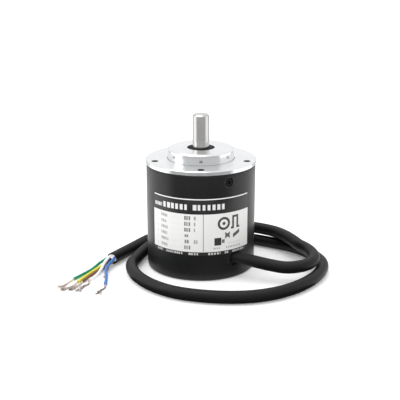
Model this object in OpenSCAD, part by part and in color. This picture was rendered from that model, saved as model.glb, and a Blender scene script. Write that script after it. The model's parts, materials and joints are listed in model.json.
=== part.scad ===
// Incremental rotary encoder: 40 mm flange, 6 mm shaft, side cable with six stripped wires.
// Origin: centre of the base face. +Z runs up along the shaft, -Y is the labelled front. Millimetres.

/* [Housing] */
// Diameter of the front flange's lip
lip_d = 40; // [38:0.5:48]
// Thickness of the lip
lip_t = 1.7; // [1.2:0.1:3]
// How far the cover's wall stands back from the lip
cover_step = 0.2; // [0.1:0.1:0.6]
// Height of the cover, base to rim
cover_h = 38.3; // [36:0.1:50]
// Wall of the cover
cover_wall = 1.0; // [0.8:0.1:1.2]
// Floor of the cover
cover_floor = 1.4; // [1:0.1:2.4]
// Round on the cover's lower edge
base_round = 0.9; // [0.4:0.1:1.2]
// Thickness of the gasket between the cover's rim and the lip
gasket_t = 0.3; // [0.2:0.1:0.6]
// Diameter of the pilot boss
boss_d = 24; // [20:0.5:28]
// Height of the pilot boss above the lip
boss_h = 3.8; // [3:0.1:6]
// Length of the spigot that enters the cover
spigot_h = 5.2; // [4.6:0.1:7]

/* [Flange holes] */
// Number of tapped mounting holes
bolt_count = 5; // [3:1:6]
// Diameter of the circle of mounting holes
bolt_pcd = 34.5; // [32:0.5:34.5]
// Diameter of a mounting hole
bolt_d = 2.5; // [2:0.1:2.6]

/* [Shaft and bearings] */
// Diameter of the shaft
shaft_d = 6; // [4:0.2:7.2]
// Reach of the shaft above the lip's face
shaft_reach = 16; // [12:0.5:25]
// Chamfer on the shaft's end
shaft_chamfer = 0.5; // [0.2:0.1:0.8]
// Outside diameter of a bearing
bearing_d = 15; // [14:0.5:17]
// Width of a bearing
bearing_w = 5; // [4:0.1:6]
// Gap between the two bearings
bearing_gap = 4.2; // [3:0.1:8]
// Diameter of a bearing ball
ball_d = 2.5; // [2:0.1:2.6]
// Number of balls in a bearing
ball_count = 8; // [6:1:8]

/* [Code disc] */
// Diameter of the code disc
disc_d = 26; // [20:0.5:27]
// Thickness of the code disc
disc_t = 0.8; // [0.5:0.1:1.2]
// Gap between the code disc and the slit mask below it
mask_gap = 0.3; // [0.2:0.1:0.5]

/* [Board] */
// Thickness of the circuit board
board_t = 1.6; // [1:0.1:2]

/* [Cable] */
// Diameter of the cable
cable_d = 4.4; // [4:0.1:4.6]
// Height of the cable's exit above the base
exit_z = 7.2; // [6.8:0.1:7.6]
// Bearing of the exit window around the body, in degrees from +X
exit_az = -52; // [-53:0.5:-51]
// Diameter of an insulated wire
wire_d = 1.1; // [0.9:0.1:1.2]
// Diameter of a wire's bare end
core_d = 0.5; // [0.4:0.05:0.6]

/* [Label] */
// Angle that the label covers around the body
label_angle = 113; // [60:1:113]
// Thickness of the label
label_t = 0.08; // [0.05:0.01:0.15]
// Height of the label's lower edge above the base
label_z = 9.75; // [9.75:0.05:12]
// Height of the label
label_h = 21.1; // [12:0.1:22]

/* [Hidden] */
$fn = 96;
eps = 0.01;
fit = 0.05;                                   // running and slip clearance, on the radius
cover_r = lip_d / 2 - cover_step;
cover_in_r = cover_r - cover_wall;
spigot_r = cover_in_r - fit;
lip_z = cover_h + gasket_t;
face_z = lip_z + lip_t;
boss_z = face_z + boss_h;
shaft_r = shaft_d / 2;
shaft_top = face_z + shaft_reach;
edge = 0.25;                                  // small chamfer on the turned edges
boss_edge = 0.5;

// Shaft seal and the recess above it
recess_depth = 0.9;
seal_t = 0.8;
seal_r = shaft_r + 2.3;
recess_r = seal_r - 0.3;
seal_z = boss_z - recess_depth - seal_t;
clip_t = 0.6;
clip_r = shaft_r + 1;
clip_groove_r = shaft_r - 0.3;
seal_land_r = shaft_r - 0.2;                  // ground down where the seal rides
seal_land_top = boss_z - 0.2;

// Bearings, from the front one down
bearing_r = bearing_d / 2;
shoulder_z = seal_z - clip_t - 0.2;
front_z = shoulder_z - bearing_w;
rear_z = front_z - bearing_gap - bearing_w;
wave_h = 0.7;
snap_t = 0.6;
snap_z = rear_z - wave_h - snap_t;
snap_groove_r = bearing_r + 0.4;
sleeve_z = snap_z - 0.7;
sleeve_r = bearing_r + 3;
pitch_r = (shaft_r + bearing_r) / 2;
ball_r = ball_d / 2;
groove_r = ball_r + 0.06;
race_in_r = pitch_r - 0.36 * ball_d;
race_out_r = pitch_r + 0.36 * ball_d;
shield_t = 0.25;

// Hub, code disc and clamp ring, hanging below the sleeve
hub_h = 4.7;
hub_r = shaft_r + 2.5;
hub_flange_r = hub_r + 1;
hub_flange_t = 0.8;
hub_top = sleeve_z - 0.4;
disc_z = hub_top - hub_h - hub_flange_t - disc_t;
disc_r = disc_d / 2;
clamp_ring_t = 0.8;
shaft_bottom = disc_z - clamp_ring_t - 0.3;
hub_screw_r = 1;
hub_screw_z = hub_top - hub_h / 2;

// Optical pickup: lamp above the disc, mask and sensor below it
pickup_az = 90;
pickup_r = disc_r - 2;
mask = [min(7, 2 * (pickup_r - hub_r - 0.3)), 6, 0.5];
sensor = [6, 5, 0.7];
riser = [9, 7, 2.6];
mask_z = disc_z - mask_gap - mask.z;
sensor_z = mask_z - sensor.z;
riser_z = sensor_z - riser.z;
board_z = riser_z - board_t;
board_r = cover_in_r - 1.2;

// Spigot, standoffs and lamp bracket
spigot_z = lip_z - spigot_h;
post_r = 1.6;
post_ring_r = disc_r + post_r + 0.6;
post_screw_r = 1;
post_angles = [0, 120, 240];
arm_z = disc_z + disc_t + 1.1;
arm_h = 4;
lamp_r = 1.5;
bracket_w = 6;
bracket_in_r = pickup_r - 2.2;
bracket_out_r = post_ring_r + 1.4;

// Cover screws: countersunk, into the spigot
screw_r = 1;
screw_head_r = 1.9;
screw_sunk = 0.15;                            // how far the head lies below the cover's wall
screw_l = 5;
screw_z = lip_z - 2.8;
screw_angles = [-60, 60, 180];
socket_r = 0.75;
bolt_depth = face_z - (screw_z + screw_r + 0.2);

// Exit window, grommet and inner cable clamp
cable_r = cable_d / 2;
window_h = cable_d + 0.4;
window_w = 6.7;
exit_heading = -27;                           // direction in which the cable leaves, from +X
exit_point = [12.9, -15.0, exit_z];
clamp_point = [6.6, -11.8, exit_z];
grommet_sunk = 0.8;
clamp_l = 4;
clamp_w = 11;
clamp_screw_off = 4;

// Route of the cable, from inside the body to the stripped end
cable_route = [
    [2.3, -9.6, 7.2], [12.9, -15, 7.2], [18.2, -17.6, 7], [24, -19.8, 6.4], [29.9, -21.1, 5.9],
    [35.4, -19.8, 5.9], [39.3, -16.2, 6], [40.8, -11.2, 6.3], [39.5, -5, 6.5], [36.6, -0.1, 6.7],
    [35, 3.9, 6.8], [32.3, 9.7, 6.8], [28.4, 14.9, 6.8], [21.5, 19.4, 6.8], [12.4, 23, 6.8],
    [3, 24.6, 6.8], [-5.6, 22.7, 5.5], [-12.7, 18.6, 3.5], [-18.4, 12.9, 2.4], [-21.8, 5, 2.25],
    [-23.9, -2.6, 2.2], [-25.2, -9.8, 2.2], [-23, -18.8, 2.2], [-17.4, -27.6, 2.2],
    [-9, -34.4, 2.2], [2, -38, 2.2], [14, -38.6, 2.2], [25, -35.4, 2.2], [34.4, -28.4, 2.2],
    [41.4, -18.8, 2.2], [44.4, -8.6, 2.2], [42.3, 0.3, 2.2], [36.3, 8.8, 2.2], [27.2, 15, 2.2],
    [14.4, 21.4, 2.2], [1.4, 26.6, 2.2], [-10.8, 25.7, 2.2], [-19.8, 18.9, 2.2], [-25.7, 9.5, 2.2],
    [-32.9, -2.9, 2.3]
];
cable_steps = 2;

// Routes of the wires, from the cable's end to the end of the insulation
green_route = [[-34.1, -2.4, 2.7], [-35.0, -3.7, 2.5], [-37.3, -5.6, 1.6], [-39.6, -9.4, 0.7],
    [-42.6, -14.6, 0.6], [-45.1, -18.6, 0.6]];
white_route = [[-33.0, -3.2, 3.5], [-33.8, -4.5, 3.5], [-35.2, -7.6, 2.6], [-36.4, -12, 1.1],
    [-37.8, -16.4, 0.6], [-39.5, -19.8, 0.6]];
yellow_route = [[-33.8, -2.6, 1.4], [-34.8, -4.2, 1.2], [-36.9, -7.4, 0.8], [-39.2, -11.6, 0.6],
    [-41.6, -17.2, 0.6], [-43.3, -21.4, 0.6]];
brown_route = [[-32.8, -3.3, 1.1], [-33.8, -4.9, 0.9], [-35.6, -7.9, 0.6], [-37.8, -12, 0.6],
    [-39.9, -16.6, 0.6], [-41.6, -20.8, 0.6]];
black_route = [[-33.1, -3.2, 2.3], [-33.6, -5, 2.25], [-34, -6.9, 1.75], [-34.3, -9.3, 0.8],
    [-34.4, -11.4, 0.6], [-34.3, -13.4, 0.6]];
blue_route = [[-32.1, -3.8, 2.9], [-32.4, -5.5, 2.7], [-33.5, -8.4, 2.2], [-34.3, -12.5, 1.9],
    [-33.6, -18.6, 1.1], [-33.5, -23.8, 0.6]];

// Bare ends of the wires, from the end of each wire's insulation
core_routes = [
    [[-45.2, -18.8, 0.6], [-46.2, -20.6, 0.35], [-47.4, -23.2, 0.3], [-49.1, -26.4, 0.3]],
    [[-39.6, -20.1, 0.6], [-39.4, -22.4, 0.35], [-41.2, -25.2, 0.3], [-42.4, -29, 0.3]],
    [[-43.5, -21.7, 0.6], [-44.3, -23.6, 0.35], [-45.8, -25.8, 0.3], [-47.8, -28.4, 0.3]],
    [[-41.8, -21.1, 0.6], [-42.3, -23, 0.35], [-43.6, -25.4, 0.3], [-45.2, -28.2, 0.3]],
    [[-34.2, -13.7, 0.6], [-34.1, -14.6, 0.4], [-34.1, -15.5, 0.3], [-34, -16.4, 0.3]],
    [[-33.5, -24.1, 0.6], [-33.4, -26, 0.35], [-34.6, -28.6, 0.3], [-35.4, -31.4, 0.3]]
];

// Leads inside the body, from the cable's inner end to the plug on the board
lead_count = 6;
lead_r = min(0.3, (board_z - exit_z) / 15);      // thinner where the board lies low over the clamp
lead_pitch = 0.7;
plug = [9, 4, 4];
plug_at = [-3.5, 2];

// ---------- shared shapes ----------

// A plain ring: inner and outer radius, height of its foot, height
module ring(ri, ro, z, h) {
    translate([0, 0, z]) difference() {
        cylinder(r = ro, h = h);
        translate([0, 0, -eps]) cylinder(r = ri, h = h + 2 * eps);
    }
}

// Puts children at a radius, a bearing from +X and a height
module polar(r, az, z) rotate([0, 0, az]) translate([r, 0, z]) children();

// A block centred in X and Y on its foot
module block(size) translate([-size.x / 2, -size.y / 2, 0]) cube(size);

// A pan-head screw pointing up: shank radius and length, head radius and height
module pan_screw(r, l, head_r, head_h) {
    difference() {
        union() {
            translate([0, 0, -head_h]) cylinder(r = head_r, h = head_h);
            cylinder(r = r, h = l);
        }
        translate([0, 0, -head_h - eps]) cylinder(r = r * 0.75, h = head_h * 0.6, $fn = 6);
    }
}

function unit(v) = v / norm(v);
function before(p) = 2 * p[0] - p[1];
function after(p) = 2 * p[len(p) - 1] - p[len(p) - 2];
function bend(a, b, c, d, t) =
    0.5 * (2 * b + (c - a) * t + (2 * a - 5 * b + 4 * c - d) * t * t + (3 * b - a - 3 * c + d) * t * t * t);

// A smooth curve through points, with a number of steps between each two
function smooth(p, steps) = let (q = concat([before(p)], p, [after(p)])) concat(
    [for (i = [1 : len(q) - 3]) for (k = [0 : steps - 1]) bend(q[i - 1], q[i], q[i + 1], q[i + 2], k / steps)],
    [p[len(p) - 1]]);

// A round tube swept along points
module tube(path, r, sides) {
    n = len(path);
    rings = [for (i = [0 : n - 1])
        let (t = unit(path[min(i + 1, n - 1)] - path[max(i - 1, 0)]),
            s = unit(cross(t, [0, 0, 1])),
            u = cross(s, t))
        for (k = [0 : sides - 1]) path[i] + r * (cos(360 * k / sides) * s + sin(360 * k / sides) * u)];
    sides_a = [for (i = [0 : n - 2]) for (k = [0 : sides - 1])
        [i * sides + k, (i + 1) * sides + k, (i + 1) * sides + (k + 1) % sides]];
    sides_b = [for (i = [0 : n - 2]) for (k = [0 : sides - 1])
        [i * sides + k, (i + 1) * sides + (k + 1) % sides, i * sides + (k + 1) % sides]];
    first = [for (k = [0 : sides - 1]) k];
    last = [for (k = [sides - 1 : -1 : 0]) (n - 1) * sides + k];
    polyhedron(points = rings, faces = concat(sides_a, sides_b, [first], [last]));
}

// ---------- housing ----------

// The cable's exit window: a slot with round ends, cut along the radius
module window(w, h, r0, r1) {
    half = (w - h) / 2;
    polar(r0, exit_az, exit_z) {
        for (side = [-1, 1]) translate([0, side * half, 0]) rotate([0, 90, 0]) cylinder(d = h, h = r1 - r0);
        translate([0, -half, -h / 2]) cube([r1 - r0, 2 * half, h]);
    }
}

// The bore that the cable passes through, along its heading
module cable_bore(at, r, l) translate(at) rotate([0, 0, exit_heading]) rotate([0, 90, 0]) cylinder(r = r, h = l, center = true);

module cover_body() {
    arc = [for (a = [0 : 15 : 90]) [cover_r - base_round + base_round * sin(a), base_round - base_round * cos(a)]];
    rotate_extrude() polygon(concat([[0, 0]], arc,
        [[cover_r, cover_h], [cover_in_r, cover_h], [cover_in_r, cover_floor], [0, cover_floor]]));
}

module housing_cover() color("#1b1c1e") difference() {
    cover_body();
    for (a = screw_angles) polar(cover_r, a, screw_z) rotate([0, -90, 0]) {
        translate([0, 0, -1]) cylinder(r = screw_head_r, h = 1 + screw_sunk);
        translate([0, 0, screw_sunk]) cylinder(r1 = screw_head_r, r2 = screw_r + fit, h = screw_head_r - screw_r);
        cylinder(r = screw_r + fit, h = cover_wall + 1);
    }
    window(window_w, window_h, cover_in_r - 1, cover_r + 1);
}

module front_flange() color("#c9ccd0") difference() {
    rotate_extrude() polygon([
        [recess_r, boss_z], [boss_d / 2 - boss_edge, boss_z], [boss_d / 2, boss_z - boss_edge],
        [boss_d / 2, face_z], [lip_d / 2 - edge, face_z], [lip_d / 2, face_z - edge],
        [lip_d / 2, lip_z + edge], [lip_d / 2 - edge, lip_z], [spigot_r, lip_z],
        [spigot_r, spigot_z + edge], [spigot_r - edge, spigot_z], [sleeve_r, spigot_z],
        [sleeve_r, sleeve_z], [bearing_r, sleeve_z], [bearing_r, snap_z], [snap_groove_r, snap_z],
        [snap_groove_r, snap_z + snap_t], [bearing_r, snap_z + snap_t], [bearing_r, shoulder_z],
        [seal_r, shoulder_z], [seal_r, seal_z + seal_t], [recess_r, seal_z + seal_t]]);
    for (k = [0 : bolt_count - 1]) polar(bolt_pcd / 2, -90 + 360 * k / bolt_count, face_z - bolt_depth)
        cylinder(d = bolt_d, h = bolt_depth + 1);
    for (a = screw_angles) polar(cover_r - screw_l - 0.5, a, screw_z) rotate([0, 90, 0])
        cylinder(r = screw_r, h = screw_l + 1);
    for (a = post_angles) polar(post_ring_r, a, spigot_z - 1) cylinder(r = post_screw_r, h = 4.2);
    polar(post_ring_r, pickup_az, spigot_z - 1) cylinder(r = post_screw_r, h = 4.2);
}

module cover_gasket() color("#2a2a2a") ring(cover_in_r, cover_r - 0.1, cover_h, gasket_t);

module cover_screws() color("#2f3033") for (a = screw_angles)
    polar(cover_r - screw_sunk, a, screw_z) rotate([0, -90, 0]) difference() {
        union() {
            cylinder(r1 = screw_head_r - fit, r2 = screw_r, h = screw_head_r - screw_r - fit);
            cylinder(r = screw_r, h = screw_l);
        }
        translate([0, 0, -eps]) cylinder(r = socket_r, h = 0.8, $fn = 6);
    }

module label() color("#e9e9e6") rotate_extrude(angle = label_angle, start = -90 - label_angle / 2)
    translate([cover_r, label_z]) square([label_t, label_h]);

module shaft_seal() color("#202020") rotate_extrude() polygon([
    [seal_r, seal_z], [seal_r, seal_z + seal_t], [seal_land_r + fit, seal_z + seal_t],
    [seal_land_r + fit, seal_z + seal_t * 0.6], [shaft_r + 0.5, seal_z]]);

// ---------- bearings ----------

module race(r0, r1, z) translate([0, 0, z + bearing_w / 2]) rotate_extrude() difference() {
    translate([r0, -bearing_w / 2]) square([r1 - r0, bearing_w]);
    translate([pitch_r, 0]) circle(r = groove_r);
}

module shields(z) for (dz = [0.1, bearing_w - 0.1 - shield_t]) ring(race_in_r + 0.15, race_out_r, z + dz, shield_t);

module balls(z, r) for (k = [0 : ball_count - 1]) polar(pitch_r, 360 * k / ball_count, z + bearing_w / 2) sphere(r = r);

module cage(z) difference() {
    ring(pitch_r - 0.5, pitch_r + 0.5, z + bearing_w / 2 - 0.8, 0.8 + ball_r + 0.5);
    balls(z, groove_r);
}

module front_outer_race() color("#b9bcc0") race(race_out_r, bearing_r, front_z);
module rear_outer_race() color("#b9bcc0") race(race_out_r, bearing_r, rear_z);
module front_inner_race() color("#c4c7cb") race(shaft_r, race_in_r, front_z);
module rear_inner_race() color("#c4c7cb") race(shaft_r, race_in_r, rear_z);
module front_shields() color("#9a9da1") shields(front_z);
module rear_shields() color("#9a9da1") shields(rear_z);
module front_balls() color("#d9dce0") balls(front_z, ball_r);
module rear_balls() color("#d9dce0") balls(rear_z, ball_r);
module front_cage() color("#c8a24a") cage(front_z);
module rear_cage() color("#c8a24a") cage(rear_z);
module outer_spacer() color("#a8abb0") ring(bearing_r - 1, bearing_r, front_z - bearing_gap, bearing_gap);
module inner_spacer() color("#a8abb0") ring(shaft_r, shaft_r + 1, front_z - bearing_gap, bearing_gap);

// Wave washer under the rear bearing: three waves that just touch both sides
module wave_washer() color("#8e9196") {
    n = 48;
    t = 0.25;
    swing = (wave_h - t) / 2 - 0.02;
    r0 = bearing_r - 1.1;
    r1 = bearing_r - 0.15;
    pts = [for (i = [0 : n - 1]) let (a = 360 * i / n, z = rear_z - wave_h / 2 + swing * sin(3 * a))
        for (c = [[r0, -t / 2], [r1, -t / 2], [r1, t / 2], [r0, t / 2]]) [c.x * cos(a), c.x * sin(a), z + c.y]];
    polyhedron(points = pts, faces = [for (i = [0 : n - 1]) for (k = [0 : 3]) for (h = [0, 1])
        let (j = (i + 1) % n, m = (k + 1) % 4)
        h == 0 ? [4 * i + k, 4 * j + k, 4 * j + m] : [4 * i + k, 4 * j + m, 4 * i + m]]);
}

// An open spring ring: inner and outer radius, foot, height, opening angle
module open_ring(ri, ro, z, h, gap) translate([0, 0, z])
    rotate_extrude(angle = 360 - gap, start = gap / 2) translate([ri, 0]) square([ro - ri, h]);

module snap_ring() color("#6f7277") open_ring(bearing_r - 1, snap_groove_r, snap_z, snap_t, 40);

// ---------- rotor ----------

module shaft() color("#b5b8bc") rotate_extrude() polygon([
    [0, shaft_bottom], [shaft_r - edge, shaft_bottom], [shaft_r, shaft_bottom + edge],
    [shaft_r, rear_z - clip_t], [clip_groove_r, rear_z - clip_t], [clip_groove_r, rear_z],
    [shaft_r, rear_z], [shaft_r, shoulder_z], [clip_groove_r, shoulder_z],
    [clip_groove_r, shoulder_z + clip_t], [seal_land_r, shoulder_z + clip_t],
    [seal_land_r, seal_land_top], [shaft_r, seal_land_top],
    [shaft_r, shaft_top - shaft_chamfer], [shaft_r - shaft_chamfer, shaft_top], [0, shaft_top]]);

module shaft_clips() color("#6f7277") for (z = [rear_z - clip_t, shoulder_z])
    open_ring(clip_groove_r, clip_r, z, clip_t, 60);

module disc_hub() color("#b08d4c") difference() {
    union() {
        ring(shaft_r, hub_r, hub_top - hub_h, hub_h);
        ring(shaft_r, hub_flange_r, disc_z + disc_t, hub_flange_t);
    }
    translate([shaft_r - 1, 0, hub_screw_z]) rotate([0, 90, 0]) cylinder(r = hub_screw_r, h = hub_r);
}

module hub_screw() color("#3a3b3e") translate([0, 0, hub_screw_z]) rotate([0, 90, 0]) difference() {
    intersection() {
        cylinder(r = hub_screw_r, h = hub_r - 0.2);
        translate([0, 0, shaft_r + fit]) cylinder(r = hub_screw_r, h = hub_r);
    }
    translate([0, 0, hub_r - 1]) cylinder(r = hub_screw_r * 0.55, h = 2, $fn = 6);
}

module code_disc() color("#9fb6bd") ring(shaft_r, disc_r, disc_z, disc_t);
module disc_clamp_ring() color("#b08d4c") ring(shaft_r, hub_r, disc_z - clamp_ring_t, clamp_ring_t);

// ---------- optical pickup ----------

module lamp_bracket() color("#262729") rotate([0, 0, pickup_az]) difference() {
    union() {
        translate([bracket_in_r, -bracket_w / 2, arm_z]) cube([bracket_out_r - bracket_in_r, bracket_w, arm_h]);
        translate([disc_r + 0.6, -bracket_w / 2, arm_z])
            cube([bracket_out_r - disc_r - 0.6, bracket_w, spigot_z - arm_z]);
    }
    translate([pickup_r, 0, arm_z - 1]) cylinder(r = lamp_r, h = arm_h + 2);
    translate([post_ring_r, 0, arm_z - 1]) cylinder(r = post_screw_r, h = spigot_z - arm_z + 2);
}

module lamp() color("#d9e6ea") polar(pickup_r, pickup_az, arm_z) {
    cylinder(r = lamp_r, h = arm_h);
    translate([0, 0, arm_h]) cylinder(r = lamp_r + 0.3, h = 0.6);
}

module bracket_screw() color("#8e9196") polar(post_ring_r, pickup_az, arm_z)
    pan_screw(post_screw_r, spigot_z - arm_z + 3, post_r - 0.2, 0.9);

module slit_mask() color("#a9c3c8") polar(pickup_r, pickup_az, mask_z) block(mask);
module light_sensor() color("#33353a") polar(pickup_r, pickup_az, sensor_z) block(sensor);
module sensor_riser() color("#e4dfcf") polar(pickup_r, pickup_az, riser_z) block(riser);

// ---------- board ----------

module circuit_board() color("#1f6b45") difference() {
    translate([0, 0, board_z]) cylinder(r = board_r, h = board_t);
    for (a = post_angles) polar(post_ring_r, a, board_z - 1) cylinder(r = post_screw_r + fit, h = board_t + 2);
    // A board that lies low is cut clear of the clamp's screw heads
    for (side = [-1, 1]) clamp_screw_place(side) cylinder(r = 1.4 + fit, h = cable_r + 2.2);
}

module board_standoffs() color("#c5a55a") for (a = post_angles) {
    polar(post_ring_r, a, spigot_z - eps) cylinder(r = post_screw_r, h = 3 + eps);
    polar(post_ring_r, a, board_z + board_t) difference() {
        cylinder(r = post_r, h = spigot_z - board_z - board_t);
        translate([0, 0, -eps]) cylinder(r = post_screw_r, h = 5);
    }
}

module board_screws() color("#8e9196") for (a = post_angles)
    polar(post_ring_r, a, board_z) pan_screw(post_screw_r, board_t + 4, post_r + 0.3, 1.2);

// Parts soldered to the underside hang below the board by their own height
module under_board(x, y, size) translate([x, y, board_z - size.z]) block(size);

module signal_chip() color("#1d1d1f") under_board(6.5, 7.5, [7, 7, 1.4]);
// Parts beside a board screw stay clear of its head when the screws move in
module driver_chips() color("#1d1d1f") {
    under_board(-9.5, min(9, post_ring_r * sin(120) - 4.15), [5, 4, 1.5]);
    under_board(-11.5, -1, [4, 5, 1.5]);
}
module capacitors() color("#b9bcc0")
    for (p = [[min(10.5, post_ring_r - 4.6), -1.5], [-7.5, max(-8.5, 4.6 - post_ring_r * sin(120))]])
    translate([p.x, p.y, board_z - 3.4]) cylinder(r = 2, h = 3.4);
module chip_resistors() color("#d8d2c2") for (k = [0 : 4]) {
    under_board(-4 + 2.4 * k, 14.4, [1.2, 2, 0.6]);
}
module board_plug() color("#efeee8") under_board(plug_at.x, plug_at.y, plug);

// ---------- cable ----------

module cable_grommet() color("#141414") difference() {
    intersection() {
        union() {
            window(window_w, window_h, cover_in_r - 1.4, cover_r);
            intersection() {
                window(window_w + 1.8, window_h + 1.6, cover_in_r - 1.4, cover_r);
                cylinder(r = cover_in_r, h = cover_h);
            }
        }
        cylinder(r = cover_r - grommet_sunk, h = cover_h);
    }
    cable_bore(exit_point, cable_r, 14);
}

module cable_clamp() color("#d8d6cf") difference() {
    translate([clamp_point.x, clamp_point.y, cover_floor]) rotate([0, 0, exit_heading])
        block([clamp_l, clamp_w, exit_z - cover_floor + cable_r + 1]);
    cable_bore(clamp_point, cable_r, clamp_l + 2);
    for (side = [-1, 1]) clamp_screw_place(side) cylinder(r = 0.8, h = exit_z + 6, center = true);
}

module clamp_screw_place(side) translate([clamp_point.x, clamp_point.y, exit_z]) rotate([0, 0, exit_heading])
    translate([0, side * clamp_screw_off, 0]) children();

module clamp_screws() color("#8e9196") for (side = [-1, 1]) clamp_screw_place(side)
    translate([0, 0, cable_r + 1]) rotate([180, 0, 0]) pan_screw(0.8, 5, 1.4, 0.8);

// Leads rise from the cable's inner end to the plug, side by side
module inner_leads() color("#6a6d70") for (k = [0 : lead_count - 1]) {
    across = [-sin(exit_heading), cos(exit_heading), 0];
    along = [cos(exit_heading), sin(exit_heading), 0];
    start = cable_route[0] - along * 0.15 + across * lead_pitch * (k - (lead_count - 1) / 2);
    goal = [plug_at.x + 2 * lead_pitch * (k - (lead_count - 1) / 2), plug_at.y - plug.y / 2 - 0.05, board_z - plug.z / 2];
    rise = goal - start;
    tube(smooth([start, start - along * 1.5, start + rise * 0.5 - along, goal - [0, 1.5, 0.3], goal], 3), lead_r, 8);
}

module cable_jacket() color("#232426") tube(smooth(cable_route, cable_steps), cable_r, 10);

module wire(route) tube(smooth(route, 2), wire_d / 2, 8);
module wire_green() color("#1f9a5c") wire(green_route);
module wire_white() color("#f1f1ee") wire(white_route);
module wire_yellow() color("#d8cf46") wire(yellow_route);
module wire_brown() color("#8a5a3c") wire(brown_route);
module wire_black() color("#1c2431") wire(black_route);
module wire_blue() color("#3f78c8") wire(blue_route);
module wire_cores() color("#c9c1b4") for (route = core_routes) tube(smooth(route, 2), core_d / 2, 6);

housing_cover();
front_flange();
cover_gasket();
cover_screws();
label();
shaft_seal();
front_outer_race();
rear_outer_race();
front_shields();
rear_shields();
outer_spacer();
wave_washer();
snap_ring();
shaft();
front_inner_race();
rear_inner_race();
inner_spacer();
shaft_clips();
disc_hub();
hub_screw();
code_disc();
disc_clamp_ring();
front_balls();
front_cage();
rear_balls();
rear_cage();
lamp_bracket();
lamp();
bracket_screw();
slit_mask();
light_sensor();
sensor_riser();
circuit_board();
board_standoffs();
board_screws();
signal_chip();
driver_chips();
capacitors();
chip_resistors();
board_plug();
cable_grommet();
cable_clamp();
clamp_screws();
inner_leads();
cable_jacket();
wire_green();
wire_white();
wire_yellow();
wire_brown();
wire_black();
wire_blue();
wire_cores();
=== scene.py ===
"""Looks of a rotary encoder: its finishes, its lead and the stripped wires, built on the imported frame."""

import json
import logging
import math
import random
from dataclasses import dataclass
from enum import Enum
from typing import Any, Sequence

import bmesh
import bpy
from mathutils import Matrix, Vector

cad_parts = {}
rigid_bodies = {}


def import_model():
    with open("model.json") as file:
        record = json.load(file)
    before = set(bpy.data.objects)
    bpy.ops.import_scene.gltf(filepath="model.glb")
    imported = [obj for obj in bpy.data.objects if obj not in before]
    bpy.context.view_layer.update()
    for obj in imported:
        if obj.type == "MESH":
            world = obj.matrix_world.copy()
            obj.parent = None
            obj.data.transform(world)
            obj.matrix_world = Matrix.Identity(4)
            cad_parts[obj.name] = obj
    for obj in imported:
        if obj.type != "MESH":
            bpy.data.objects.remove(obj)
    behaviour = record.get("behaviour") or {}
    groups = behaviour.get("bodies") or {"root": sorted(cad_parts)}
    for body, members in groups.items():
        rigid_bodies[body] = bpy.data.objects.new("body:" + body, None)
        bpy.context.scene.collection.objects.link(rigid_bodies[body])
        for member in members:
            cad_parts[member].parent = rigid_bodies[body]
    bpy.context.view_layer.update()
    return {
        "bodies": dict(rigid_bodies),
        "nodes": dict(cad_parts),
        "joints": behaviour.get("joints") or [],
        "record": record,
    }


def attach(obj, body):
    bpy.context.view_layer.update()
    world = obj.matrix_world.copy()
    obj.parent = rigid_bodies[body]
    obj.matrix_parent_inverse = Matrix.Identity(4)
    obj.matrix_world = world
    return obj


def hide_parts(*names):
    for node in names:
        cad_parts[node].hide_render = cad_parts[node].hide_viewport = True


LOG = logging.getLogger("encoder")
MM = 0.001

HOUSING = "housing"
SHARP_ANGLE = math.radians(35.0)
FLOOR_GAP = 0.01 * MM
MERGE_GAP = 1.0e-7

Colour = tuple[float, float, float]
Point = tuple[float, float, float]
Route = tuple[Point, ...]
Socket = bpy.types.NodeSocket
WorkMesh = bmesh.types.BMesh
Rim = list[bmesh.types.BMEdge]


class Slot(str, Enum):
    """The record's material slots."""

    ALUMINIUM = "aluminium"
    BLACK_PAINT = "black_paint"
    LABEL_FOIL = "label_foil"
    STEEL = "steel"
    BEARING_STEEL = "bearing_steel"
    SPACER_STEEL = "spacer_steel"
    BLACK_SCREW = "black_screw"
    BLACK_RUBBER = "black_rubber"
    BRASS = "brass"
    CAGE_BRASS = "cage_brass"
    GLASS = "glass"
    BLACK_PLASTIC = "black_plastic"
    WHITE_PLASTIC = "white_plastic"
    BOARD = "board"
    TIN = "tin"
    CERAMIC = "ceramic"
    LEAD_GREY = "lead_grey"
    CABLE_BLACK = "cable_black"
    WIRE_GREEN = "wire_green"
    WIRE_WHITE = "wire_white"
    WIRE_YELLOW = "wire_yellow"
    WIRE_BROWN = "wire_brown"
    WIRE_BLACK = "wire_black"
    WIRE_BLUE = "wire_blue"


class Op(str, Enum):
    """The sums that the node graphs use."""

    ADD = "ADD"
    SUBTRACT = "SUBTRACT"
    MULTIPLY = "MULTIPLY"
    DIVIDE = "DIVIDE"
    GREATER = "GREATER_THAN"
    LESS = "LESS_THAN"
    ABSOLUTE = "ABSOLUTE"
    FLOOR = "FLOOR"
    FRACTION = "FRACT"
    ANGLE = "ARCTAN2"
    ROOT = "SQRT"


def rgba(colour: Colour) -> tuple[float, float, float, float]:
    """A colour with its alpha."""
    return (*colour, 1.0)


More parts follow.
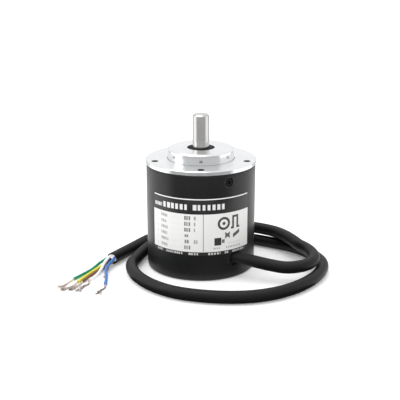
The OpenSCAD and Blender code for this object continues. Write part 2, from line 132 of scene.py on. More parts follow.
class Graph:
    """Adds nodes to one tree and joins them."""

    def __init__(self, tree: bpy.types.NodeTree) -> None:
        """Holds the tree that the nodes go into."""
        self.tree = tree

    def node(self, kind: str, **settings: Any) -> bpy.types.Node:
        """Adds a node and sets its own properties.

        Args:
            kind: the node's type.
            settings: its own properties, by name.

        Returns:
            The node.
        """
        made = self.tree.nodes.new(kind)
        for name, value in settings.items():
            setattr(made, name, value)
        return made

    def put(self, socket: Socket, value: Any) -> None:
        """Gives a socket a link or a plain value.

        Args:
            socket: the input to feed.
            value: another node's output, a number, or a colour of three numbers.
        """
        if isinstance(value, bpy.types.NodeSocket):
            self.tree.links.new(value, socket)
        elif socket.type == "RGBA" and len(value) == 3:
            socket.default_value = rgba(value)
        else:
            socket.default_value = value

    def feed(self, node: bpy.types.Node, **values: Any) -> None:
        """Gives several of a node's inputs their values, by name."""
        for name, value in values.items():
            self.put(node.inputs[name.replace("_", " ")], value)

    def math(self, op: Op, first: Any, second: Any = 0.0, clamp: bool = False) -> Socket:
        """One sum of two values.

        Args:
            op: the sum.
            first: a number or an output.
            second: a number or an output.
            clamp: keep the answer between 0 and 1.

        Returns:
            The output that holds the answer.
        """
        made = self.node("ShaderNodeMath", operation=op.value, use_clamp=clamp)
        self.put(made.inputs[0], first)
        self.put(made.inputs[1], second)
        return made.outputs[0]

    def times(self, first: Any, second: Any) -> Socket:
        """One value times another."""
        return self.math(Op.MULTIPLY, first, second)

    def blend(self, amount: Any, low: Any, high: Any) -> Socket:
        """A colour between two colours.

        Args:
            amount: 0 for low and 1 for high.
            low: a colour or an output.
            high: a colour or an output.

        Returns:
            The mixed colour's output.
        """
        made = self.node("ShaderNodeMix", data_type="RGBA")
        self.put(made.inputs[0], amount)
        self.put(made.inputs[6], low)
        self.put(made.inputs[7], high)
        return made.outputs[2]

    def span(self, value: Any, low: float, high: float, start: float = 0.0, end: float = 1.0) -> Socket:
        """Maps a value from start..end to low..high, held at both ends.

        Args:
            value: a number or an output.
            low: what start becomes.
            high: what end becomes.
            start: where the range starts.
            end: where it ends.

        Returns:
            The output that holds the answer.
        """
        made = self.node("ShaderNodeMapRange", clamp=True)
        for socket, given in zip(made.inputs, (value, start, end, low, high)):
            self.put(socket, given)
        return made.outputs[0]

    def place(self) -> Socket:
        """The piece's own coordinates, in metres."""
        return self.node("ShaderNodeTexCoord").outputs["Object"]

    def parts(self, vector: Socket) -> tuple[Socket, Socket, Socket]:
        """The x, y and z of a vector.

        Args:
            vector: the vector's output.

        Returns:
            Its three outputs.
        """
        split = self.node("ShaderNodeSeparateXYZ")
        self.put(split.inputs[0], vector)
        return split.outputs[0], split.outputs[1], split.outputs[2]

    def reach(self, first: Socket, second: Socket) -> Socket:
        """How far a point with these two parts lies from the axis."""
        squares = [self.times(part, part) for part in (first, second)]
        return self.math(Op.ROOT, self.math(Op.ADD, *squares))

    def facing(self) -> Socket:
        """The surface's own normal."""
        return self.node("ShaderNodeNewGeometry").outputs["Normal"]

    def noise(self, vector: Any, scale: Any, detail: float, rough: float) -> Socket:
        """A noise value from 0 to 1 over three dimensions.

        Args:
            vector: where the noise is read.
            scale: how fine it is.
            detail: how many finer layers it has.
            rough: how strong they are.

        Returns:
            The noise's output.
        """
        made = self.node("ShaderNodeTexNoise")
        self.feed(made, Vector=vector, Scale=scale, Detail=detail, Roughness=rough)
        return made.outputs["Fac"]

    def bump(self, height: Socket, depth: float) -> Socket:
        """A normal shifted by a height.

        Args:
            height: the height's output, from 0 to 1.
            depth: how far 1 stands above 0, in metres.

        Returns:
            The normal's output.
        """
        made = self.node("ShaderNodeBump")
        self.feed(made, Distance=depth, Height=height)
        return made.outputs["Normal"]


@dataclass(frozen=True)
class Port:
    """One named input or output of a shared group."""

    name: str
    start: float = 0.0
    kind: str = "NodeSocketFloat"


VECTOR_PORT = Port("Vector", kind="NodeSocketVector")


class SharedGroup:
    """A node group that is made once and placed in every material that uses it."""

    name: str = ""
    takes: tuple[Port, ...] = ()
    gives: tuple[Port, ...] = ()

    def fill(self, graph: Graph, given: Any, out: Any) -> None:
        """Builds the group's inside, from its inputs to its outputs."""
        raise NotImplementedError

    def tree(self) -> bpy.types.NodeTree:
        """The group, built the first time it is asked for.

        Returns:
            The group.
        """
        found = bpy.data.node_groups.get(self.name)
        if found is not None:
            return found
        made = bpy.data.node_groups.new(self.name, "ShaderNodeTree")
        for way, ports in (("INPUT", self.takes), ("OUTPUT", self.gives)):
            for port in ports:
                socket = made.interface.new_socket(port.name, in_out=way, socket_type=port.kind)
                if port.kind == "NodeSocketFloat":
                    socket.default_value = port.start
        graph = Graph(made)
        self.fill(graph, graph.node("NodeGroupInput").outputs, graph.node("NodeGroupOutput").inputs)
        return made

    def use(self, graph: Graph, **values: Any) -> Any:
        """Places the group in a material.

        Args:
            graph: the material's graph.
            values: what each input gets, by the input's name in small letters.

        Returns:
            The placed group's outputs.
        """
        made = graph.node("ShaderNodeGroup", node_tree=self.tree())
        for name, value in values.items():
            graph.put(made.inputs[name.capitalize()], value)
        return made.outputs


class FineGrain(SharedGroup):
    """Two sizes of speckle: a slow drift in tone, and the grain's own height."""

    name = "fine_grain"
    takes = (VECTOR_PORT, Port("Scale", 3000.0), Port("Drift", 120.0))
    gives = (Port("Tone"), Port("Height"))

    def fill(self, graph: Graph, given: Any, out: Any) -> None:
        """Joins the slow and the fine noise.

        Args:
            graph: the group's inside.
            given: the group's inputs.
            out: what the group puts out.
        """
        fine = graph.noise(given["Vector"], given["Scale"], 3.0, 0.6)
        slow = graph.noise(given["Vector"], given["Drift"], 4.0, 0.55)
        graph.put(out["Tone"], graph.span(slow, 0.0, 1.0, 0.3, 0.7))
        graph.put(out["Height"], fine)


class TurnedLines(SharedGroup):
    """The rings that a lathe tool leaves, on flat faces and on round walls."""

    name = "turned_lines"
    takes = (VECTOR_PORT, Port("Pitch", 9000.0))
    gives = (Port("Height"), Port("Shade"))

    def fill(self, graph: Graph, given: Any, out: Any) -> None:
        """Reads a one-way noise along the radius and the height.

        Args:
            graph: the group's inside.
            given: the group's inputs.
            out: what the group puts out.
        """
        x, y, z = graph.parts(given["Vector"])
        along = graph.math(Op.ADD, graph.reach(x, y), z)
        for name, share, detail in (("Height", 1.0, 2.0), ("Shade", 0.12, 3.0)):
            lines = graph.node("ShaderNodeTexNoise", noise_dimensions="1D")
            step = graph.times(along, graph.times(given["Pitch"], share))
            graph.feed(lines, W=step, Scale=1.0, Detail=detail)
            graph.put(out[name], lines.outputs["Fac"])


class EdgeWear(SharedGroup):
    """The outer edges, broken up by noise, as edge wear and, for the black screw, a painted glint."""

    name = "edge_wear"
    takes = (VECTOR_PORT, Port("Radius", 0.0002), Port("Amount", 1.0))
    gives = (Port("Mask"),)

    def fill(self, graph: Graph, given: Any, out: Any) -> None:
        """Compares the rounded normal with the real one.

        Args:
            graph: the group's inside.
            given: the group's inputs.
            out: what the group puts out.
        """
        rounded = graph.node("ShaderNodeBevel", samples=4)
        graph.put(rounded.inputs["Radius"], given["Radius"])
        turned = graph.node("ShaderNodeVectorMath", operation="DOT_PRODUCT")
        graph.put(turned.inputs[0], rounded.outputs[0])
        graph.put(turned.inputs[1], graph.facing())
        edge = graph.span(turned.outputs["Value"], 1.0, 0.0, 0.86, 0.99)
        broken = graph.span(graph.noise(given["Vector"], 900.0, 4.0, 0.7), 0.2, 1.0, 0.4, 0.6)
        edge_tone = graph.times(edge, broken)
        graph.put(out["Mask"], graph.math(Op.MULTIPLY, edge_tone, given["Amount"], clamp=True))


class SettledDust(SharedGroup):
    """Fine dust that lies on what faces up."""

    name = "settled_dust"
    takes = (VECTOR_PORT, Port("Amount", 0.1))
    gives = (Port("Mask"),)

    def fill(self, graph: Graph, given: Any, out: Any) -> None:
        """Joins the upward share of the normal with a patchy noise.

        Args:
            graph: the group's inside.
            given: the group's inputs.
            out: what the group puts out.
        """
        up = graph.span(graph.parts(graph.facing())[2], 0.0, 1.0, 0.2, 0.95)
        patchy = graph.span(graph.noise(given["Vector"], 260.0, 6.0, 0.75), 0.1, 1.0, 0.42, 0.66)
        lies = graph.times(up, patchy)
        graph.put(out["Mask"], graph.math(Op.MULTIPLY, lies, given["Amount"], clamp=True))


PLACE_PORTS = (Port("U"), Port("V"))
SPAN_PORTS = (Port("Left"), Port("Right"), Port("Low"), Port("High"))


def within(graph: Graph, value: Any, low: Any, high: Any) -> Socket:
    """1 where a value lies between two others."""
    over = graph.math(Op.GREATER, value, low)
    return graph.times(over, graph.math(Op.LESS, value, high))


class PrintBox(SharedGroup):
    """A printed rectangle."""

    name = "print_box"
    takes = PLACE_PORTS + SPAN_PORTS
    gives = (Port("Mask"),)

    def fill(self, graph: Graph, given: Any, out: Any) -> None:
        """Joins the two spans.

        Args:
            graph: the group's inside.
            given: the group's inputs.
            out: what the group puts out.
        """
        across = within(graph, given["U"], given["Left"], given["Right"])
        up = within(graph, given["V"], given["Low"], given["High"])
        graph.put(out["Mask"], graph.times(across, up))


class PrintBlocks(SharedGroup):
    """A row of plain printed blocks of uneven width, which stands in for a line of print."""

    name = "print_blocks"
    takes = PLACE_PORTS + SPAN_PORTS + (Port("Pitch", 1.0), Port("Seed"))
    gives = (Port("Mask"),)
    narrow = 0.5
    wide = 0.82

    def fill(self, graph: Graph, given: Any, out: Any) -> None:
        """Cuts the row into cells and fills a share of each one.

        Args:
            graph: the group's inside.
            given: the group's inputs.
            out: what the group puts out.
        """
        across = within(graph, given["U"], given["Left"], given["Right"])
        up = within(graph, given["V"], given["Low"], given["High"])
        cells = graph.math(Op.DIVIDE, graph.math(Op.SUBTRACT, given["U"], given["Left"]), given["Pitch"])
        chance = graph.node("ShaderNodeTexWhiteNoise", noise_dimensions="1D")
        graph.feed(chance, W=graph.math(Op.ADD, graph.math(Op.FLOOR, cells), given["Seed"]))
        share = graph.span(chance.outputs["Value"], self.narrow, self.wide)
        kept = graph.math(Op.LESS, graph.math(Op.FRACTION, cells), share)
        graph.put(out["Mask"], graph.times(graph.times(across, up), kept))


class PrintRing(SharedGroup):
    """A printed ring, or a dot where its width is twice its radius."""

    name = "print_ring"
    takes = PLACE_PORTS + (Port("Across"), Port("Up"), Port("Radius", 1.0), Port("Width", 0.5))
    gives = (Port("Mask"),)

    def fill(self, graph: Graph, given: Any, out: Any) -> None:
        """Tests how far the distance from the centre is from the radius.

        Args:
            graph: the group's inside.
            given: the group's inputs.
            out: what the group puts out.
        """
        du = graph.math(Op.SUBTRACT, given["U"], given["Across"])
        dv = graph.math(Op.SUBTRACT, given["V"], given["Up"])
        off = graph.math(Op.ABSOLUTE, graph.math(Op.SUBTRACT, graph.reach(du, dv), given["Radius"]))
        graph.put(out["Mask"], graph.math(Op.LESS, off, graph.times(given["Width"], 0.5)))


COAT_DUST: Colour = (0.42, 0.41, 0.39)
PLASTIC_DUST: Colour = (0.5, 0.49, 0.47)
FOOT_SHADE: Colour = (0.1, 0.1, 0.11)
SLIT_INK: Colour = (0.03, 0.035, 0.04)


def blank(name: str) -> tuple[bpy.types.Material, Graph]:
    """A new material, and its graph with nothing in it.

    Args:
        name: the material's name.

    Returns:
        The material and its graph.
    """
    made = bpy.data.materials.new(name)
    made.use_nodes = True
    made.node_tree.nodes.clear()
    return made, Graph(made.node_tree)


@dataclass(frozen=True)
class Finish:
    """A name, a colour, and a way to build the material."""

    name: str
    colour: Colour

    def material(self) -> bpy.types.Material:
        """The finish's material, built the first time it is asked for.

        Returns:
            The material.
        """
        found = bpy.data.materials.get(self.name)
        if found is not None:
            return found
        made, graph = blank(self.name)
        shader = graph.node("ShaderNodeBsdfPrincipled")
        graph.put(graph.node("ShaderNodeOutputMaterial").inputs["Surface"], shader.outputs[0])
        self.wire(graph, shader.inputs)
        return made

    def wire(self, graph: Graph, shader: Any) -> None:
        """Feeds the surface shader's inputs."""
        raise NotImplementedError


@dataclass(frozen=True)
class TurnedMetal(Finish):
    """Bare metal with lathe rings, a slow drift in tone, lighter edges from wear, and where asked a painted
    shade ring round a boss's foot.
    """

    roughness: float = 0.2
    pitch: float = 9000.0
    depth: float = 2.0e-6
    drift: float = 0.05
    edge: float = 0.35
    faced: float = 0.0
    # Inner radius and width of a painted shade ring round a boss's foot; no ring where the radius is 0.
    painted_foot_shade_radius: float = 0.0
    painted_foot_shade_width: float = 0.28 * MM

    def wire(self, graph: Graph, shader: Any) -> None:
        """Joins rings, grain, edge wear and the painted foot shade.

        Args:
            graph: the material's graph.
            shader: the surface shader's inputs.
        """
        place = graph.place()
        rings = TurnedLines().use(graph, vector=place, pitch=self.pitch)
        grain = FineGrain().use(graph, vector=place, scale=2600.0, drift=180.0)
        edge_tone = EdgeWear().use(graph, vector=place, radius=0.00012, amount=self.edge)
        dull = tuple(c * (1.0 - 3.0 * self.drift) for c in self.colour)
        toned = graph.blend(graph.times(grain["Tone"], 0.5), self.colour, dull)
        ringed = graph.blend(graph.span(rings["Shade"], 0.0, 0.4, 0.35, 0.75), toned, dull)
        bright = tuple(min(1.0, c * 1.15 + 0.03) for c in self.colour)
        # Painted shade: a dark ring on the flat face just outside the boss's foot, where the boss meets the
        # face.
        if self.painted_foot_shade_radius:
            x, y, _ = graph.parts(place)
            cut = within(graph, graph.reach(x, y), self.painted_foot_shade_radius, self.painted_foot_shade_radius + self.painted_foot_shade_width)
            ringed = graph.blend(graph.times(cut, 0.75), ringed, FOOT_SHADE)
        graph.put(shader["Base Color"], graph.blend(edge_tone["Mask"], ringed, bright))
        graph.put(shader["Metallic"], 1.0)
        rough = graph.span(grain["Tone"], self.roughness * 0.85, self.roughness * 1.2)
        level = graph.math(Op.ABSOLUTE, graph.parts(graph.facing())[2])
        flat = graph.span(level, 0.0, self.faced, 0.8, 0.95)
        graph.put(shader["Roughness"], graph.math(Op.ADD, rough, flat))
        height = graph.math(Op.ADD, rings["Height"], graph.times(grain["Height"], 0.3))
        graph.put(shader["Normal"], graph.bump(height, self.depth))


@dataclass(frozen=True)
class Coating(Finish):
    """A thin satin coat on metal: fine orange peel, dust, and lighter edges that stand for wear and, on the
    near-black screw, a painted glint.
    """

    roughness: float = 0.4
    edge_tone: Colour = (0.06, 0.06, 0.063)
    dust: float = 0.012
    peel: float = 4.0e-6
    ior: float = 1.5

    def wire(self, graph: Graph, shader: Any) -> None:
        """Joins peel, dust, and the lighter edges that stand for wear and a painted glint.

        Args:
            graph: the material's graph.
            shader: the surface shader's inputs.
        """
        place = graph.place()
        grain = FineGrain().use(graph, vector=place, scale=2200.0, drift=90.0)
        wear_and_glint = EdgeWear().use(graph, vector=place, radius=0.00018, amount=0.5)
        dust = SettledDust().use(graph, vector=place, amount=self.dust)
        lighter = tuple(c * 1.35 for c in self.colour)
        toned = graph.blend(grain["Tone"], self.colour, lighter)
        # Lighter edges: wear on the cover; on the near-black screw the light edge tone is a painted glint
        # round the socket and head.
        edged = graph.blend(wear_and_glint["Mask"], toned, self.edge_tone)
        graph.put(shader["Base Color"], graph.blend(dust["Mask"], edged, COAT_DUST))
        rough = graph.span(grain["Tone"], self.roughness * 0.9, self.roughness * 1.12)
        graph.put(shader["Roughness"], graph.math(Op.ADD, rough, dust["Mask"], clamp=True))
        graph.put(shader["IOR"], self.ior)
        graph.put(shader["Normal"], graph.bump(grain["Height"], self.peel))


@dataclass(frozen=True)
class Moulded(Finish):
    """Moulded or extruded plastic and rubber: matt grain, a drift in tone, and a little dust."""

    roughness: float = 0.45
    dust: float = 0.04
    grain: float = 3000.0
    depth: float = 5.0e-6
    drift: float = 0.25
    ior: float = 1.5
    glow: float = 0.0

    def wire(self, graph: Graph, shader: Any) -> None:
        """Joins grain and dust.

        Args:
            graph: the material's graph.
            shader: the surface shader's inputs.
        """
        place = graph.place()
        grain = FineGrain().use(graph, vector=place, scale=self.grain, drift=140.0)
        dust = SettledDust().use(graph, vector=place, amount=self.dust)
        lighter = tuple(min(1.0, c * (1.0 + self.drift)) for c in self.colour)
        toned = graph.blend(grain["Tone"], self.colour, lighter)
        graph.put(shader["Base Color"], graph.blend(dust["Mask"], toned, PLASTIC_DUST))
        rough = graph.span(grain["Tone"], self.roughness * 0.9, min(1.0, self.roughness * 1.15))
        graph.put(shader["Roughness"], graph.math(Op.ADD, rough, dust["Mask"], clamp=True))
        graph.put(shader["IOR"], self.ior)
        graph.put(shader["Emission Strength"], self.glow)
        graph.put(shader["Normal"], graph.bump(grain["Height"], self.depth))


@dataclass(frozen=True)
class CodedGlass(Finish):
    """Clear glass with a ring of dark slits."""

    slits: float = 360.0
    ring: tuple[float, float] = (9.6 * MM, 12.4 * MM)

    def wire(self, graph: Graph, shader: Any) -> None:
        """Draws the slits by the angle round the axis.

        Args:
            graph: the material's graph.
            shader: the surface shader's inputs.
        """
        x, y, _ = graph.parts(graph.place())
        on_ring = within(graph, graph.reach(x, y), *self.ring)
        turns = graph.times(graph.math(Op.ANGLE, y, x), self.slits / math.tau)
        dark = graph.math(Op.GREATER, graph.math(Op.FRACTION, turns), 0.5)
        mask = graph.times(on_ring, dark)
        graph.put(shader["Base Color"], graph.blend(mask, self.colour, SLIT_INK))
        graph.put(shader["Transmission Weight"], 1.0)
        graph.put(shader["Roughness"], graph.math(Op.ADD, graph.times(mask, 0.3), 0.03))
        graph.put(shader["IOR"], 1.5)


@dataclass(frozen=True)
class Laminate(Finish):
    """A circuit board: solder mask over copper tracks, on woven glass."""

    def wire(self, graph: Graph, shader: Any) -> None:
        """Draws tracks with a brick pattern, and the weave with two waves.

        Args:
            graph: the material's graph.
            shader: the surface shader's inputs.
        """
        place = graph.place()
        tracks = graph.node("ShaderNodeTexBrick", offset=0.37)
        graph.feed(tracks, Vector=place, Scale=420.0, Mortar_Size=0.035)
        weave = graph.node("ShaderNodeTexWave", bands_direction="DIAGONAL")
        graph.feed(weave, Vector=place, Scale=900.0)
        grain = FineGrain().use(graph, vector=place, scale=2400.0, drift=150.0)
        copper = tuple(c * 1.9 for c in self.colour)
        tracked = graph.blend(tracks.outputs["Fac"], self.colour, copper)
        drift = graph.times(grain["Tone"], 0.3)
        graph.put(shader["Base Color"], graph.blend(drift, tracked, self.colour))
        graph.put(shader["Roughness"], graph.span(grain["Tone"], 0.22, 0.34))
        high = graph.math(Op.ADD, tracks.outputs["Fac"], graph.times(weave.outputs["Fac"], 0.15))
        graph.put(shader["Normal"], graph.bump(high, 2.5e-5))


class Shape(Enum):
    """What a printed mark looks like."""

    BOX = "box"
    BLOCKS = "blocks"
    RING = "ring"


BOX, BLOCKS, RING = Shape


@dataclass(frozen=True)
class Mark:
    """One printed mark on the label, in millimetres round the wall and up it.

    Its sizes are left, right, low and high, or a ring's centre, radius and width. Tone is the
    ink's grey, slope the climb for each millimetre across, and ink the share that shows.
    """

    shape: Shape
    sizes: tuple[float, float, float, float]
    tone: float
    pitch: float = 1.0
    slope: float = 0.0
    ink: float = 1.0


WHITE_INK = 0.86
GREY_INK = 0.3
PALE_INK = 0.55
DARK_INK = 0.045
ROW_PITCH = 2.17
FIRST_ROW = 23.55


def table_rows() -> list[Mark]:
    """The six rows of the label's left half: a number, a name, a leader and a value each.

    Returns:
        The marks of all six rows.
    """
    wide = (2.4, 2.4, 2.4, 1.3, 1.5, 2.3)
    tall = (1.5, 1.5, 1.4, 1.0, 1.3, 1.4)
    last = (0.85, 0.85, 0.8, 0.0, 1.3, 0.0)
    marks = []
    for row, (width, height, extra) in enumerate(zip(wide, tall, last)):
        up = FIRST_ROW - row * ROW_PITCH
        left = -5.95 if width > 2.0 else -5.8
        name_end = -12.5 - 0.5 * (row % 2) + 0.25 * (row // 3)
        marks += [
            Mark(BOX, (-17.5, -17.05, up - 0.5, up + 0.5), PALE_INK, ink=0.6),
            Mark(BLOCKS, (-15.5, name_end, up - 0.6, up + 0.5), 0.22, 0.62, -0.08, 0.85),
            Mark(BOX, (-11.4, -6.9, up - 0.28, up - 0.1), PALE_INK, ink=0.35),
            Mark(BLOCKS, (left, left + width, up - height / 2, up + height / 2), 0.12, 0.8, ink=0.9),
        ]
        if extra:
            marks.append(Mark(BLOCKS, (-2.5, -2.5 + extra, up - 0.7, up + 0.65), 0.2, 0.85, ink=0.75))
    return marks


def label_marks() -> tuple[Mark, ...]:
    """Everything printed on the label, from the ground up.

    Returns:
        The marks, each over the ones before it.
    """
    return (
        Mark(BOX, (-19.7, 19.7, 11.05, 24.95), 0.74),
        Mark(BOX, (-19.2, 19.2, 30.16, 30.5), WHITE_INK),
        Mark(BLOCKS, (-18.7, -15.0, 26.5, 27.8), WHITE_INK, 0.72, 0.02),
        Mark(BLOCKS, (-14.4, -4.25, 26.45, 28.45), WHITE_INK, 1.71, ink=0.8),
        Mark(BLOCKS, (-2.85, 9.1, 26.45, 28.45), WHITE_INK, 1.72, ink=0.8),
        *(
            Mark(BLOCKS, (left, right, 9.98, 10.76), WHITE_INK, pitch, ink=ink)
            for left, right, pitch, ink in (
                (-17.6, -14.9, 0.86, 0.55), (-13.2, -6.6, 0.86, 0.6), (-4.4, -0.6, 0.96, 0.65),
                (2.6, 7.0, 1.04, 0.65), (8.7, 10.3, 0.8, 0.65), (11.8, 17.4, 0.92, 0.55),
            )
        ),
        *table_rows(),
        Mark(BOX, (0.68, 0.98, 11.3, 24.9), 0.2, ink=0.85),
        Mark(RING, (8.3, 21.2, 1.95, 0.85), DARK_INK),
        Mark(RING, (8.3, 21.2, 0.3, 0.6), DARK_INK),
        *(
            Mark(BOX, sizes, DARK_INK)
            for sizes in (
                (11.1, 12.4, 18.8, 19.6), (11.6, 12.4, 18.8, 23.7), (11.6, 14.3, 22.9, 23.7),
                (13.5, 14.3, 18.8, 23.7), (13.5, 14.9, 18.8, 19.6),
            )
        ),
        *(Mark(BOX, (8.75, 10.65, 16.2, 17.25), 0.09, slope=slope) for slope in (0.8, -0.8)),
        Mark(BOX, (12.0, 14.9, 16.1, 17.5), 0.07, slope=0.5),
        Mark(BOX, (4.75, 7.3, 13.3, 16.1), 0.025),
        Mark(BOX, (7.5, 8.6, 14.05, 15.35), 0.14),
        Mark(BLOCKS, (4.4, 7.2, 11.95, 12.55), GREY_INK, 0.7, ink=0.8),
        Mark(BLOCKS, (9.2, 15.5, 11.9, 12.6), GREY_INK, 0.7, ink=0.8),
        Mark(BLOCKS, (10.2, 15.2, 13.2, 14.0), PALE_INK, 0.9, ink=0.5),
    )


@dataclass(frozen=True)
class PrintedLabel(Finish):
    """A printed foil round the cover: a black ground, an off-white panel, and plain printed marks."""

    wall: float = 19.88
    roughness: float = 0.36

    def wire(self, graph: Graph, shader: Any) -> None:
        """Lays the marks over the ground, by the angle round the axis and the height.

        Args:
            graph: the material's graph.
            shader: the surface shader's inputs.
        """
        place = graph.place()
        x, y, z = graph.parts(place)
        angle = graph.math(Op.ANGLE, x, graph.times(y, -1.0))
        across = graph.times(angle, self.wall)
        up = graph.math(Op.DIVIDE, z, MM)
        grain = FineGrain().use(graph, vector=place, scale=2600.0, drift=110.0)
        colour = graph.blend(grain["Tone"], self.colour, tuple(c * 1.3 for c in self.colour))
        for mark in label_marks():
            mask = self.mask(graph, mark, across, up)
            inked = graph.times(mask, mark.ink)
            colour = graph.blend(inked, colour, (mark.tone, mark.tone, mark.tone * 0.985))
        smudge = graph.span(grain["Tone"], 0.0, 0.05)
        graph.put(shader["Base Color"], graph.blend(smudge, colour, (GREY_INK,) * 3))
        graph.put(shader["Roughness"], graph.span(grain["Tone"], self.roughness, self.roughness * 1.2))
        graph.put(shader["Normal"], graph.bump(grain["Height"], 2.0e-6))

    @staticmethod
    def mask(graph: Graph, mark: Mark, across: Socket, up: Socket) -> Socket:
        """Where one mark's ink lies.

        Args:
            graph: the material's graph.
            mark: the mark.
            across: the place round the wall, in millimetres.
            up: the height, in millimetres.

        Returns:
            The mask's output.
        """
        a, b, c, d = mark.sizes
        if mark.slope:
            rise = graph.times(graph.math(Op.SUBTRACT, across, (a + b) / 2), mark.slope)
            up = graph.math(Op.SUBTRACT, up, rise)
        if mark.shape is RING:
            return PrintRing().use(graph, u=across, v=up, across=a, up=b, radius=c, width=d)["Mask"]
        span = {"u": across, "v": up, "left": a, "right": b, "low": c, "high": d}
        if mark.shape is BOX:
            return PrintBox().use(graph, **span)["Mask"]
        return PrintBlocks().use(graph, **span, pitch=mark.pitch, seed=abs(a) + c)["Mask"]


def insulation(name: str, colour: Colour, drift: float = 0.25) -> Moulded:
    """The smooth finish of one wire's insulation."""
    return Moulded(name, colour, 0.3, 0.02, 2000.0, 3.0e-6, drift)


FINISHES: dict[Slot, Finish] = {
    # Its last number sets a painted shade ring round the boss's foot, 12.01 mm from the axis.
    Slot.ALUMINIUM: TurnedMetal(
        "turned_aluminium", (0.88, 0.89, 0.9), 0.16, 7000.0, 1.6e-6, 0.05, 0.35, 0.14, 12.01 * MM
    ),
    Slot.STEEL: TurnedMetal("ground_steel", (0.6, 0.595, 0.58), 0.19, 16000.0, 1.8e-6),
    Slot.BEARING_STEEL: TurnedMetal("polished_steel", (0.66, 0.66, 0.67), 0.1, 16000.0, 1.0e-6),
    Slot.SPACER_STEEL: TurnedMetal("plain_steel", (0.5, 0.5, 0.51), 0.32, 9000.0, 3.0e-6),
    # The 0.3 grey edge tone on the near-black screw is a painted glint round its socket and head, as well
    # as wear.
    Slot.BLACK_SCREW: Coating("blackened_steel", (0.002, 0.002, 0.0022), 0.62, (0.3, 0.3, 0.3), ior=1.3),
    Slot.BRASS: TurnedMetal("turned_brass", (0.78, 0.58, 0.28), 0.2, 8000.0, 2.5e-6),
    Slot.CAGE_BRASS: TurnedMetal("pressed_brass", (0.74, 0.52, 0.24), 0.28, 5000.0, 2.5e-6),
    Slot.TIN: TurnedMetal("tinned_copper", (0.72, 0.62, 0.56), 0.36, 14000.0, 4.0e-6, 0.1, 0.2),
    Slot.BLACK_PAINT: Coating("satin_black_coat", (0.0098, 0.01, 0.0106), 0.34, ior=1.38),
    Slot.BLACK_RUBBER: Moulded("black_rubber", (0.014, 0.014, 0.015), 0.6, 0.03, 2600.0, 8.0e-6),
    Slot.CABLE_BLACK: Moulded(
        "cable_jacket", (0.0055, 0.0055, 0.0058), 0.46, 0.006, 1500.0, 7.0e-6, ior=1.32
    ),
    Slot.BLACK_PLASTIC: Moulded("black_plastic", (0.025, 0.025, 0.027), 0.4),
    Slot.WHITE_PLASTIC: Moulded("white_plastic", (0.72, 0.71, 0.67), 0.4),
    Slot.CERAMIC: Moulded("ceramic", (0.68, 0.62, 0.53), 0.5),
    Slot.LEAD_GREY: Moulded("grey_insulation", (0.32, 0.33, 0.35), 0.4),
    Slot.WIRE_GREEN: insulation("green_insulation", (0.0, 0.21, 0.115)),
    Slot.WIRE_WHITE: insulation("white_insulation", (0.86, 0.85, 0.83), 0.1),
    Slot.WIRE_YELLOW: insulation("yellow_insulation", (0.7, 0.63, 0.04)),
    Slot.WIRE_BROWN: insulation("brown_insulation", (0.15, 0.055, 0.028)),
    Slot.WIRE_BLACK: insulation("dark_insulation", (0.008, 0.013, 0.03)),
    Slot.WIRE_BLUE: insulation("blue_insulation", (0.035, 0.15, 0.47)),
    Slot.GLASS: CodedGlass("coded_glass", (0.93, 0.97, 0.97)),
    Slot.BOARD: Laminate("board_laminate", (0.012, 0.12, 0.05)),
    Slot.LABEL_FOIL: PrintedLabel("printed_foil", (0.0115, 0.0118, 0.0125)),
}


def smooth(route: Sequence[Point], steps: int) -> list[Vector]:
    """A soft curve through every point of a route.

    Args:
        route: the points, in millimetres.
        steps: how many points each stretch gets.

    Returns:
        The curve's points, in metres.
    """
    points = [Vector(p) * MM for p in route]
    first = points[0] * 2 - points[1]
    last = points[-1] * 2 - points[-2]
    held = [first, *points, last]
    made = []
    for a, b, c, d in zip(held, held[1:], held[2:], held[3:]):
        for step in range(steps):
            t = step / steps
            line = b * 2 + (c - a) * t + (a * 2 - b * 5 + c * 4 - d) * t**2
            made.append((line + (b * 3 - a - c * 3 + d) * t**3) / 2)
    made.append(points[-1])
    return made


def swept(name: str, lines: Sequence[Sequence[Vector]], radius: float, sides: int) -> WorkMesh:
    """Round tubes along lines, open at both ends.

    Args:
        name: a name for the work curve.
        lines: the middle line of each tube, in metres.
        radius: the tubes' radius.
        sides: how many sides they have, a multiple of four.

    Returns:
        The tubes' mesh.
    """
    curve = bpy.data.curves.new(name, "CURVE")
    curve.dimensions = "3D"
    curve.bevel_depth = radius
    curve.bevel_resolution = sides // 4 * 2 - 2
    curve.twist_mode = "MINIMUM"
    for line in lines:
        spline = curve.splines.new("POLY")
        spline.points.add(len(line) - 1)
        for point, place in zip(spline.points, line):
            point.co = (*place, 1.0)
    holder = bpy.data.objects.new(name, curve)
    mesh = bpy.data.meshes.new_from_object(holder)
    bm = bmesh.new()
    bm.from_mesh(mesh)
    bpy.data.meshes.remove(mesh)
    bpy.data.objects.remove(holder)
    bpy.data.curves.remove(curve)
    bmesh.ops.remove_doubles(bm, verts=bm.verts, dist=MERGE_GAP)
    return bm


def rim_near(bm: WorkMesh, place: Vector, reach: float) -> Rim:
    """The open edges whose ends lie near a place."""
    return [e for e in bm.edges if e.is_boundary and all((v.co - place).length < reach for v in e.verts)]


